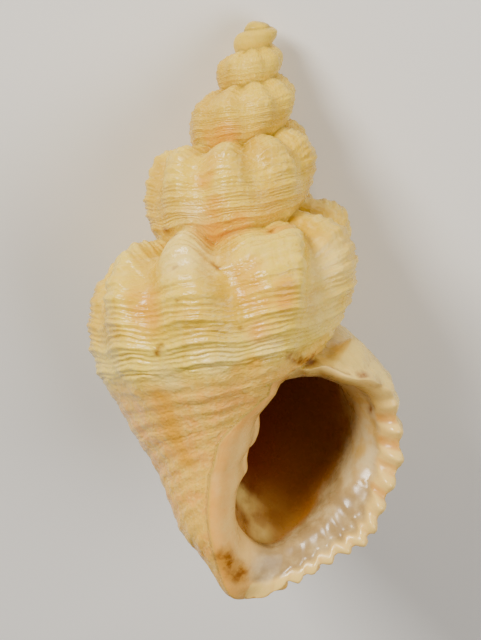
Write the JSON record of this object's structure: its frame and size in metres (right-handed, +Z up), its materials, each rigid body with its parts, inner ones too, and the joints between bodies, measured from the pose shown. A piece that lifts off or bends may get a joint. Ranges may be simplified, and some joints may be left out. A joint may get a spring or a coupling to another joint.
{
  "type": "sea shell",
  "caption": "Small spindle-shaped sea snail shell with strong axial ribs, beaded spiral cords and an open aperture, lying on its back.",
  "frame": {"origin": "middle of the bounding box, on the floor that the shell lies on", "axes": "+Z up from the floor, +Y towards the apex, +X to the outer lip's side; the aperture faces up"},
  "size_m": [0.0078, 0.0132, 0.0066],
  "materials": {
    "shell": "satin, cream-yellow with peach and whitish patches"
  },
  "bodies": {
    "root": {"shell": "shell"}
  },
  "joints": []
}
